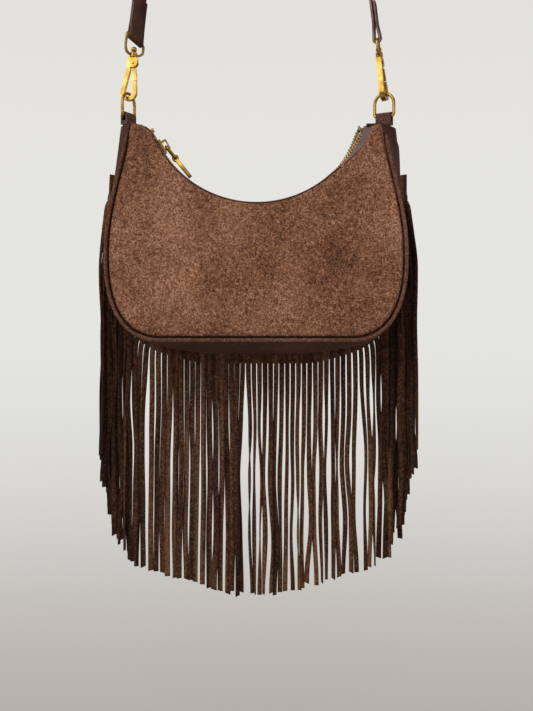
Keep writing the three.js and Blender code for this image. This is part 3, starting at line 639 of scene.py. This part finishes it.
def grid(nu, nv):
    """Fractions t and w over a sheet. w is finer near both edges."""
    t, s = np.meshgrid(np.linspace(0, 1, nu), np.linspace(0, 1, nv), indexing="ij")
    return t, 0.5 - 0.5 * np.cos(math.pi * s) * (0.72 + 0.28 * np.abs(np.cos(math.pi * s)))


def folds(t, w, front):
    """Soft hand-made unevenness of a hanging panel, out of its surface."""
    x = (t - 0.5) * 2
    # two long waves, a bulge at the left and a crease beside the middle
    lift = 0.0012 * np.sin(5.1 * x + 1.3) * np.sin(math.pi * w)
    lift += 0.0009 * np.sin(9.7 * x + 4.0 * w + 0.6) * np.sin(math.pi * w)
    lift += 0.0011 * np.exp(-((t - 0.17) / 0.05) ** 2 - ((w - 0.62) / 0.28) ** 2)
    lift -= 0.0016 * np.exp(-((t - 0.535) / 0.022) ** 2) * np.sin(math.pi * np.clip(w * 1.1, 0, 1))
    return lift if front else lift[::-1]


def panel_sheet(front, thick):
    """One face of the front or back panel: crowned, dipping into the groove beside its piping."""
    side = -1 if front else 1
    t, w = grid(*PANEL_GRID)
    flare = horn_corner(t) + (mouth_flare(t) if front else 0.0)
    point, length = across(t, w, SCOOP_R + GAP + flare, PANEL_INSET)
    to_seam, to_mouth = (1 - w) * length, w * length
    crown = CROWN * np.sin(math.pi * np.clip(w, 0, 1)) ** 0.8 * np.clip(length / 0.1, 0, 1)
    groove = GROOVE * np.exp(-(to_seam / 0.0019) ** 2)
    roll = EDGE_ROLL * np.exp(-(to_mouth / 0.0012) ** 2)
    flat = BASE_HALF + SUEDE if front else BACK_FACE + GAP + SUEDE
    out = flat + (crown + folds(t, w, front)) * (1 - np.exp(-(to_seam / 0.006) ** 2))
    out = out - groove - roll - thick
    sheet = settle(point[..., 0], side * (flat - thick), point[..., 1])
    sheet[..., 1] += side * (out - (flat - thick))
    return hang(sheet)


def make_panel(name, front):
    """A suede panel: raw along the mouth and the left horn, with painted shade in the groove at its seam.
    """
    points, faces, body, rim = shell(panel_sheet(front, 0.0), panel_sheet(front, SUEDE))
    suede, raw, groove_shade = 0, 1, 2
    mouth_edge, left_edge = 0, 3
    index = [suede] * body + [raw if edge in (mouth_edge, left_edge) else suede for edge in rim]
    depth = grid(*PANEL_GRID)[1].ravel()
    # faces in the groove beside the piping take the painted-shade suede
    for k, face in enumerate(faces[:body]):
        if max(face) < len(depth) and depth[list(face)].mean() > 1 - SEAM_BAND:
            index[k] = groove_shade
    piece = mesh_piece(name + "_suede", points, faces, [SUEDE_PANEL, RAW_EDGE, SUEDE_SEAM_SHADE], index)
    dressed(piece, "bag_body", "suede", name)


make_panel("front_panel", True)
make_panel("back_panel", False)


# --- The gusset and the piping ---

def make_gusset():
    """The band between the panels, sagging a little between its two seams, and the horns' caps."""
    a, b = np.meshgrid(np.linspace(0, 1, 220), np.linspace(-1, 1, 26), indexing="ij")
    reach = BASE_HALF - GAP
    sheets = []
    for depth in (0.0, SUEDE):
        sag = (0.0022 + 0.0005 * np.sin(31 * a + 2 * b)) * (1 - b ** 2)
        point = seam(a, sag - PIPING_R - depth)
        sheets.append(hang(settle(point[..., 0], b * reach, point[..., 1])))
    parts = [shell(*sheets)[:2]]
    u, v = np.meshgrid(np.linspace(0, 1, 10), np.linspace(-1, 1, 14), indexing="ij")
    cap_end = HORN_X - PIPING_R - 0.0004
    for side, cap_start in ((-1, SCOOP_R + 0.0085), (1, SCOOP_R - 0.0016)):
        x = cap_start + (cap_end - cap_start) * u
        cap = [hang(settle(side * x, v * reach, np.full_like(x, z))) for z in (HORN_Z, HORN_Z - SUEDE)]
        parts.append(shell(*cap)[:2])
    # the gusset's suede has its shade painted in
    piece = mesh_piece("gusset_suede", *joined(*parts), [SUEDE_GUSSET_SHADED])
    dressed(piece, "bag_body", "gusset_suede", "gusset")


def make_piping(half, y):
    """A round welt along a panel's edge, a little uneven, tapering into both horns."""
    count = 420
    t = np.linspace(0.018, 0.982, count)
    point = seam(t, np.full(count, -PIPING_R))
    line = hang(settle(point[:, 0], np.full(count, y), point[:, 1]))
    ends = np.minimum(smoothstep(t, 0.016, 0.035), smoothstep(1 - t, 0.016, 0.026))
    radius = PIPING_R * (0.35 + 0.65 * ends) * (1 + 0.05 * wander(count, 9, 3))
    piece = mesh_piece(half + "_welt", *tube(line, radius, sides=14), [SUEDE_TRIM])
    dressed(piece, "bag_body", "suede", half + "_piping")


make_gusset()
make_piping("front", -BASE_HALF - PIPING_R - 0.0001)
make_piping("back", BACK_FACE + GAP + PIPING_R)


# --- The fringe ---

ROOT_DEPTH = 0.0035  # how far a strand starts inside the header's edge
STRAND_STEPS = 60
STRAND_SEED, CUP_SEED, CUT_SEED = 100, 700, 900
# Where neighbouring strands part: the place across the fringe, the gap's half width and how far
# down it opens, as a fraction of the strands' length
PARTINGS = [(-0.0915, 0.0016, 0.00), (-0.0710, 0.0011, 0.10), (-0.0490, 0.0009, 0.30),
            (-0.0300, 0.0010, 0.45), (-0.0095, 0.0027, 0.02), (0.0120, 0.0016, 0.55),
            (0.0290, 0.0012, 0.35), (0.0460, 0.0014, 0.60), (0.0610, 0.0011, 0.40),
            (0.0750, 0.0012, 0.20), (0.0880, 0.0026, 0.15)]
# How groups of strands drift aside: the size, the strands in a group, the seed, and where down
# the fringe the drift starts and is complete
DRIFTS = [(0.0020, 6.0, 40, 0.05, 0.5), (0.0016, 4.2, 41, 0.45, 0.95)]


def header_reach(t):
    """How far the uncut header stands out of the seam: a tab at each end, narrow at the sides."""
    from_end = np.minimum(t, 1 - np.asarray(t))
    point = on_seam(t)
    upright = np.where(point[..., 1] > SIDE_Z, SIDE_X + SIDE_EDGE - np.abs(point[..., 0]), 0)
    side = np.maximum(HEADER_SIDE, upright)
    tab = 1 - smoothstep(from_end, TAB_FOOT, TAB_FOOT + 0.012)
    base = smoothstep(from_end, 0.30, 0.42)
    return side + (HEADER_TAB - side) * tab + (HEADER_BASE - side) * base


def dense_part(x):
    """1 where the strands hang flat and close, left of the middle, and 0 elsewhere."""
    return smoothstep(x, -0.100, -0.085) * (1 - smoothstep(x, -0.025, -0.012))


def strand_length(x, z, local):
    """From the seam at x and z down: less away from the middle, more up the sides, uneven there."""
    length = STRAND_LENGTH - HEM_RISE * smoothstep(abs(x), 0.010, 0.070)
    length += SIDE_EXTRA * smoothstep(z, -0.150, -0.095)
    return length + local.uniform(-0.006, 0.004) * smoothstep(abs(x), 0.100, 0.112)


def strand_path(i, t):
    """The centre line and width direction of one strand, from its root to its cut end."""
    seed = STRAND_SEED + i
    local = np.random.default_rng(seed)
    steps = STRAND_STEPS
    at = np.array([t])
    root, rim = seam(at, header_reach(at) - ROOT_DEPTH)[0], on_seam(at)[0]
    start = settle(root[0], BASE_HALF + GAP + FRINGE_THICK / 2, root[1])
    length = strand_length(*rim, local)
    # it leaves the seam along the header and turns down; sideways is 1 on the bag's upright sides
    end_z = settle(rim[0], BASE_HALF, rim[1])[2] - length
    out = seam_out(at)[0]
    lean = math.atan2(out[0], -out[1])
    sideways = float(smoothstep(abs(lean), 0.5, 1.25))
    s = np.linspace(0, start[2] - end_z + 0.002 * sideways + local.uniform(-0.0015, 0.0025), steps)
    turn = lean * np.exp(-s / (0.003 + 0.003 * (1 - sideways)))
    heading = np.stack([np.sin(turn), np.zeros(steps), -np.cos(turn)], axis=-1)
    line = start + np.vstack([[0, 0, 0], np.cumsum((heading[1:] + heading[:-1]) / 2 * s[1], axis=0)])
    # the bundles at the sides stand off the bag, and every strand wanders and lies in its layer
    loose = smoothstep(s, 0.006, 0.10)
    hand = math.copysign(1, start[0])
    above = smoothstep(start[2] - SIDE_Z, -0.045, 0.05)
    stand_off = (0.0055 if hand > 0 else 0.0040) * above * sideways
    line[:, 0] += hand * stand_off * smoothstep(s, 0, 0.06)
    dense = dense_part(start[0])
    line[:, 0] += loose * (0.0016 - 0.0009 * dense + 0.0005 * sideways) * wander(steps, 19, seed + 1)
    layer = (i % 3 - 1) * (0.0009 + 0.0019 * sideways) + local.uniform(-0.0003, 0.0003)
    line[:, 1] += smoothstep(s, 0.002, 0.03) * layer
    line[:, 1] += loose * 0.0016 * wander(steps, 24, seed + 2)
    # its width lies near the fringe's plane in front and anyhow in the side bundles
    flat = np.stack([np.cos(turn), np.zeros(steps), np.sin(turn)], axis=-1)
    lying = local.choice([-1, 1]) * local.uniform(0.2, 1.1) * (1 - 0.75 * dense)
    sidelong = local.choice([-1, 1]) * local.uniform(0.1, 1.25)
    twist = smoothstep(s, 0.002, 0.05) * (lying * (1 - sideways) + sidelong * sideways)
    twist += loose * (0.7 - 0.5 * dense) * wander(steps, 20, seed + 3)
    across_strand = flat * np.cos(twist)[:, None]
    across_strand[:, 1] += np.sin(twist)
    return line, across_strand


def clump(lines):
    """Neighbouring strands drift together and apart as a group, further down the fringe."""
    count = len(lines)
    roots = lines[:, 0, 0]
    down = (lines[:, 0, 2][:, None] - lines[:, :, 2]) / STRAND_LENGTH
    shift = sum(size * wander(count, scale, seed)[:, None] * smoothstep(down, low, high)
                for size, scale, seed, low, high in DRIFTS)
    for place, half, below in PARTINGS:
        aside = np.sign(roots - place) * np.exp(-np.abs(roots - place) / 0.009)
        shift = shift + half * aside[:, None] * smoothstep(down, below, below + 0.3)
    middle = 1 - smoothstep(np.abs(roots), 0.092, 0.108)
    lines[:, :, 0] += shift * middle[:, None]
    return lines


def ribbon_rings(line, across_line, width, thick, cup, slant):
    """Rounded rectangular cross-sections along a line, cupped by "cup" and cut off aslant."""
    along = directions(line)
    side = unit(across_line - along * (across_line * along).sum(1)[:, None])
    face = np.cross(side, along)
    half, t = width / 2, thick / 2
    section = [(-half, 0), (-half * 0.88, t), (-half * 0.3, t), (half * 0.3, t), (half * 0.88, t),
               (half, 0), (half * 0.88, -t), (half * 0.3, -t), (-half * 0.3, -t), (-half * 0.88, -t)]
    rings = []
    for i in range(len(line)):
        tip = slant * smoothstep(i, len(line) - 3, len(line) - 1)
        ring = [line[i] + side[i] * u + face[i] * (v + cup[i] * (1 - (u / half) ** 2)) + along[i] * u * tip
                for u, v in section]
        rings.append(ring)
    return np.array(rings)


def make_fringe():
    """The slit strip: an uncut header sewn into the back seam, and its hanging strands."""
    a, c = np.meshgrid(np.linspace(HEADER_TOP, 1 - HEADER_TOP, 360), np.linspace(0, 1, 7), indexing="ij")
    point = seam(a, -HEADER_IN + (header_reach(a) + HEADER_IN) * c)
    sheets = []
    for depth in (0.0, 1.0):
        y = np.full_like(a, BASE_HALF + GAP + depth * FRINGE_THICK)
        sheets.append(hang(settle(point[..., 0], y, point[..., 1])))
    parts = [shell(*sheets)[:2]]
    fractions = np.linspace(STRANDS_TOP, 1 - STRANDS_TOP, STRANDS)
    header_length = SEAM_LENGTH * (1 - 2 * HEADER_TOP)
    area = float(np.mean(header_reach(a[:, 0])) + HEADER_IN) * header_length
    made = [strand_path(i, t) for i, t in enumerate(fractions)]
    lines = clump(np.array([line for line, _ in made]))
    for k, (line, (_, across_line)) in enumerate(zip(lines, made)):
        local = np.random.default_rng(CUT_SEED + k)
        width = STRAND_WIDTH * (local.uniform(0.86, 1.04) + 0.1 * dense_part(line[0, 0]))
        cup = 0.0005 * smoothstep(np.arange(STRAND_STEPS), 0, 8) * wander(STRAND_STEPS, 16, CUP_SEED + k)
        slant = local.uniform(-0.45, 0.45)
        rings = ribbon_rings(hang(line), across_line, width, FRINGE_THICK * 0.85, cup, slant)
        parts.append(rings_mesh(rings, closed=False))
        area += width * STRAND_LENGTH
    piece = mesh_piece("fringe_suede_strip", *joined(*parts), [SUEDE_FRINGE])
    dressed(piece, "bag_body", "fringe_suede", "fringe")


make_fringe()


# --- The zip ---

def wrap(u, y, h):
    """From a flat zip layout, u along it and h towards the scoop's centre, to the scoop."""
    angle = u / ZIP_R
    r = ZIP_R - h
    return np.stack([r * np.sin(angle), np.broadcast_to(y, angle.shape) + 0 * angle,
                     SCOOP_Z - r * np.cos(angle)], axis=-1)


def arc_share(angle):
    """An angle along the scoop as a fraction of the mouth, from the left horn to the right."""
    return (angle / SCOOP_END + 1) / 2


def make_tape(name, side):
    """Half of the tape, lying from the teeth to the panel's edge and following where it rolls away."""
    low, high = 0.015 - SCOOP_END, SCOOP_END - 0.004
    inner = 0.0022
    a, b = np.meshgrid(np.linspace(0, 1, 200), np.linspace(0, 1, 9), indexing="ij")
    angle = low + (high - low) * a
    y = side * (inner + (TAPE_EDGE - inner) * b)
    drop = chain_roll(arc_share(angle), y)
    sheets = [hang(wrap(angle * ZIP_R, y, h * TAPE_THICK - drop)) for h in (0.5, -0.5)]
    piece = mesh_piece(name + "_woven", *shell(*sheets)[:2], [TAPE_CLOTH])
    dressed(piece, "bag_body", "zip_tape", name)


# A tooth from its head to its legs: the place across the tape and the half width there
TOOTH_PROFILE = [(-0.0012, 0.00050), (-0.0007, 0.00072), (0.0002, 0.00070), (0.0009, 0.00048),
                 (0.0020, 0.00062), (0.0034, 0.00072), (0.0040, 0.00060)]
# Its cross-section, with cut corners, in half widths and half thicknesses
TOOTH_U = np.array([-1, -0.6, 0.6, 1, 1, 0.6, -0.6, -1])
TOOTH_H = np.array([0.7, 1, 1, 0.7, -0.7, -1, -1, -0.7])


def tooth(angle, side):
    """One zip tooth: a round head past the middle, a waist, and legs clamped on the tape's cord."""
    rings = []
    for y, half in TOOTH_PROFILE:
        thick = 0.00125 if y < 0.0030 else 0.0011
        u, h = angle * ZIP_R + TOOTH_U * half, TOOTH_H * thick
        drop = chain_roll(arc_share(angle), np.full_like(h, side * y))
        rings.append(wrap(u, side * y, h - drop))
    return rings_mesh(hang(np.array(rings)), closed=False)


def make_teeth(name, side):
    """A row of brass teeth, half a pitch out of step with the other row and apart at the slider."""
    pitch = TOOTH_PITCH / ZIP_R
    first = TEETH_FROM + (0.0 if side < 0 else pitch / 2)
    count = int((TEETH_TO - first) / pitch) + 1
    opened, spread = SLIDER_AT - 0.06, 0.0016
    parts = []
    for k in range(count):
        angle = first + k * pitch
        points, faces = tooth(angle, side)
        points[:, 1] += side * spread * smoothstep(opened - angle, 0, 0.05)
        parts.append((points, faces))
    piece = mesh_piece(name + "_row", *joined(*parts), [ZIP_BRASS])
    dressed(piece, "bag_body", "zip_brass", name)


for zip_half, zip_side in (("front", -1), ("back", 1)):
    make_tape("zip_tape_" + zip_half, zip_side)
    make_teeth("zip_teeth_" + zip_half, zip_side)


# --- Rounded copies of the machined pieces ---

def rounded(node, name, material, body, slot, width, swell=0.0):
    """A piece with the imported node's form, its flat faces whole again and its edges rounded.
    swell thickens it all round."""
    built = bmesh.new()
    built.from_mesh(frame["nodes"][node].data)
    bmesh.ops.remove_doubles(built, verts=built.verts, dist=1e-6)
    bmesh.ops.dissolve_limit(built, angle_limit=math.radians(1.5), verts=built.verts, edges=built.edges)
    mesh = bpy.data.meshes.new(name)
    built.to_mesh(mesh)
    built.free()
    mesh.materials.clear()
    mesh.materials.append(material)
    piece = bpy.data.objects.new(name, mesh)
    bpy.context.scene.collection.objects.link(piece)
    modifier = piece.modifiers.new("rounded_edges", "BEVEL")
    modifier.width = width
    modifier.segments = 3
    modifier.limit_method = "ANGLE"
    modifier.angle_limit = math.radians(40)
    mesh.polygons.foreach_set("use_smooth", [True] * len(mesh.polygons))
    mesh.set_sharp_from_angle(angle=math.radians(35))
    if swell:
        fuller = piece.modifiers.new("fuller", "DISPLACE")
        fuller.mid_level = 0
        fuller.strength = swell
    return dressed(piece, body, slot, node)


def at_ring(points, side):
    """Points drawn about the hook line, at one side's ring and turned as it is."""
    turned = math.radians(SIDES[side]["ring"])
    c, s = math.cos(turned), math.sin(turned)
    points = np.asarray(points, float)
    x = points[..., 0] * c - points[..., 1] * s + SIDES[side]["x"]
    y = points[..., 0] * s + points[..., 1] * c
    return hang(np.stack([x, y, points[..., 2]], axis=-1))


def corner_arc(centre, r, start, end, count=14):
    """An arc in X and Z about a centre, from one angle to another in degrees."""
    angle = np.radians(np.linspace(start, end, count))
    return [(centre[0] + r * math.cos(a), 0.0, centre[1] + r * math.sin(a)) for a in angle]


def make_ring(side):
    """A D-ring of round wire: an arch closed by a straight bar."""
    top, r, low, foot = WIRE_R + TOUCH, RING_HALF, RING_BAR_Z, 0.0022
    line = corner_arc((0, top - r), r, 0, 180, 40)
    line += corner_arc((-r + foot, low + foot), foot, 180, 270)
    line += corner_arc((r - foot, low + foot), foot, 270, 360)
    loop = evenly(np.array(line + line[:1]), 129)[:-1]
    drawn = 0.96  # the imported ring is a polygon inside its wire's circle
    points, faces = tube(loop, WIRE_R * drawn, sides=18, closed=True)
    piece = mesh_piece("d_ring_wire_" + side, at_ring(points, side), faces, [BRASS])
    dressed(piece, "ring_" + side, "hardware_brass", "d_ring_" + side)


# Each sided piece: its node, its copy, material, body, slot and rounding
SIDED = [("hook_body_{}", "hook_frame_{}", BRASS, "hook_{}", "hardware_brass", 0.0005),
         ("hook_gate_{}", "gate_leg_{}", BRASS, "gate_{}", "hardware_brass", 0.0004),
         ("gate_pin_{}", "gate_rivet_{}", BRASS, "hook_{}", "hardware_brass", 0.00015),
         ("gate_spring_{}", "leaf_spring_{}", SPRING_STEEL, "hook_{}", "spring_steel", 0.0001),
         ("swivel_eye_{}", "eye_wire_{}", BRASS, "strap_body", "hardware_brass", 0.00015),
         ("ring_tab_{}", "ring_loop_{}", TAB_LEATHER, "bag_body", "tab_suede", 0.0004)]
PULLER_SWELL = 0.0005

for side_name in SIDES:
    make_ring(side_name)
    for node, copy, material, body, slot, width in SIDED:
        rounded(node.format(side_name), copy.format(side_name), material, body.format(side_name),
                slot, width)

for stop in ("zip_top_stop_front", "zip_top_stop_back", "zip_bottom_stop"):
    rounded(stop, stop + "_clip", ZIP_BRASS, "bag_body", "zip_brass", 0.0003)
rounded("slider", "slider_body", BRASS, "zip_slider", "slider_brass", 0.0007)
rounded("puller_bar", "puller_tab", BRASS, "puller_bar_body", "slider_brass", 0.0004, PULLER_SWELL)
rounded("puller_link", "puller_wire", BRASS, "puller_link_body", "slider_brass", 0.0001, PULLER_SWELL)


# --- The strap ---

LAYER = STRAP_THICK / 2 + 0.00025  # from the fold's middle to the middle of either layer
FOLD = EYE_R + GAP + STRAP_THICK / 2  # the fold's radius about the eye's bar
TURN_Z, SEWN_Z, FLAT_Z, FIRST_Z, LEAVE_Z = 0.056, 0.062, 0.070, 0.079, 0.082
FOLD_STEPS, RISE_STEPS, ARCH_STEPS, STRAP_ROWS = 10, 12, 24, 620
STRAP_DRIFT = LOAD_LEAN * (ARCH_Z - LEAVE_Z) / 2


def leaned(vector, side, share):
    """A vector tipped by a share of the lean of its side's load line towards the strap's apex."""
    angle = -math.copysign(LOAD_LEAN, SIDES[side]["x"]) * share
    c, s = math.cos(angle), math.sin(angle)
    return (vector[0] * c + vector[2] * s, vector[1], vector[2] * c - vector[0] * s)


def strap_end(side):
    """From the cut end, down round the eye's bar and up again: rows of a point and a direction of
    the width, which slants about the bar in the fold."""
    turned = math.radians(SIDES[side]["strap"])
    width = (math.cos(turned), math.sin(turned))
    face = (math.sin(turned), -math.cos(turned))
    opening = LAYER + 0.0005
    stations = [(LAYER, FIRST_Z), (LAYER, FLAT_Z), (LAYER, SEWN_Z), (opening, TURN_Z)]
    for i in range(FOLD_STEPS + 1):
        angle = math.pi * i / FOLD_STEPS
        stations.append((FOLD * math.cos(angle), EYE_BAR_Z - FOLD * math.sin(angle)))
    stations += [(-opening, TURN_Z), (-LAYER, SEWN_Z), (-LAYER, FLAT_Z), (-LAYER, LEAVE_Z)]
    slant, x = SIDES[side]["slant"], SIDES[side]["x"]
    rows = []
    for out, z in stations:
        folded = float(1 - smoothstep(z, 0.054, 0.066))
        at = leaned((face[0] * out, face[1] * out, z), side, 1)
        rows.append((at[0] + x, at[1], at[2], *leaned((*width, slant * folded), side, folded)))
    return rows


def strap_rise(side):
    """From the fold up to the arch, the strap's width turning until it faces along Y."""
    x, start = SIDES[side]["x"], strap_end(side)[-1]
    foot = x - math.copysign(LOAD_LEAN * LEAVE_Z, x)
    rows = []
    for i in range(1, RISE_STEPS + 1):
        z = LEAVE_Z + (ARCH_Z - LEAVE_Z) * i / RISE_STEPS
        near = 1 - i / RISE_STEPS
        ease = near * near * (3 - 2 * near)
        turned = math.radians(90 + (SIDES[side]["strap"] - 90) * ease)
        centre = foot - math.copysign(STRAP_DRIFT * (1 - near * near), x)
        rows.append((centre + (start[0] - foot) * near, start[1] * near, z,
                     math.cos(turned), math.sin(turned), 0.0))
    return rows


def strap_arch():
    """Half an ellipse over the shoulder, from one rise to the other."""
    radius = RING_X - LOAD_LEAN * LEAVE_Z - STRAP_DRIFT
    height = STRAP_THICK / 2 - CONTACT_Z - ARCH_Z
    rows = []
    for i in range(1, ARCH_STEPS):
        angle = math.pi * (1 - i / ARCH_STEPS)
        rows.append((radius * math.cos(angle), 0.0, ARCH_Z + height * math.sin(angle), 0.0, 1.0, 0.0))
    return rows


def make_strap():
    """One leather band through all the rows, smooth on its faces and raw at its cut edges."""
    rows = strap_end("left") + strap_rise("left") + strap_arch()
    rows += strap_rise("right")[::-1] + strap_end("right")[::-1]
    line = smooth_line(rows, STRAP_ROWS)
    centre, side = line[:, :3], line[:, 3:]
    face = unit(np.cross(directions(centre), side))
    half, t = STRAP_WIDTH / 2, STRAP_THICK / 2
    section = [(-half, t * 0.45), (-half * 0.95, t), (0, t), (half * 0.95, t), (half, t * 0.45),
               (half, -t * 0.45), (half * 0.95, -t), (0, -t), (-half * 0.95, -t), (-half, -t * 0.45)]
    rings = np.array([[centre[i] + side[i] * u + face[i] * v for u, v in section]
                      for i in range(len(centre))])
    points, faces = rings_mesh(hang(rings), closed=False)
    leather, raw = 0, 1
    sides, cut_sides = len(section), (4, 9)
    index = [raw if k % sides in cut_sides else leather for k in range(sides * (len(rings) - 1))]
    index += [raw, raw]
    piece = mesh_piece("strap_leather_band", points, faces, [STRAP_LEATHER, STRAP_EDGE], index)
    dressed(piece, "strap_body", "strap_leather", "strap")


make_strap()


# --- The lining ---

def make_lining():
    """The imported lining, its mouth lowered where the front panel and the tape roll away from it."""
    source = frame["nodes"]["lining"]
    mesh = source.data.copy()
    placing = np.array(source.matrix_world)
    points = np.array([vertex.co[:] for vertex in mesh.vertices]) @ placing[:3, :3].T + placing[:3, 3]
    faces = [tuple(face.vertices) for face in mesh.polygons]
    x, z = points[:, 0], points[:, 2] - CONTACT_Z - SCOOP_Z
    r, t = np.hypot(x, z), arc_share(np.arctan2(x, -z))
    rolled = mouth_flare(t) + horn_corner(t)
    clear, depth = 0.003, 0.04
    push = (rolled + clear * (rolled > 0)) * (1 - smoothstep(r, SCOOP_R, SCOOP_R + depth))
    points[:, 0] += x / r * push
    points[:, 2] += z / r * push
    piece = mesh_piece("lining_twill", points, faces, [LINING_CLOTH])
    dressed(piece, "bag_body", "lining_cloth", "lining")


make_lining()
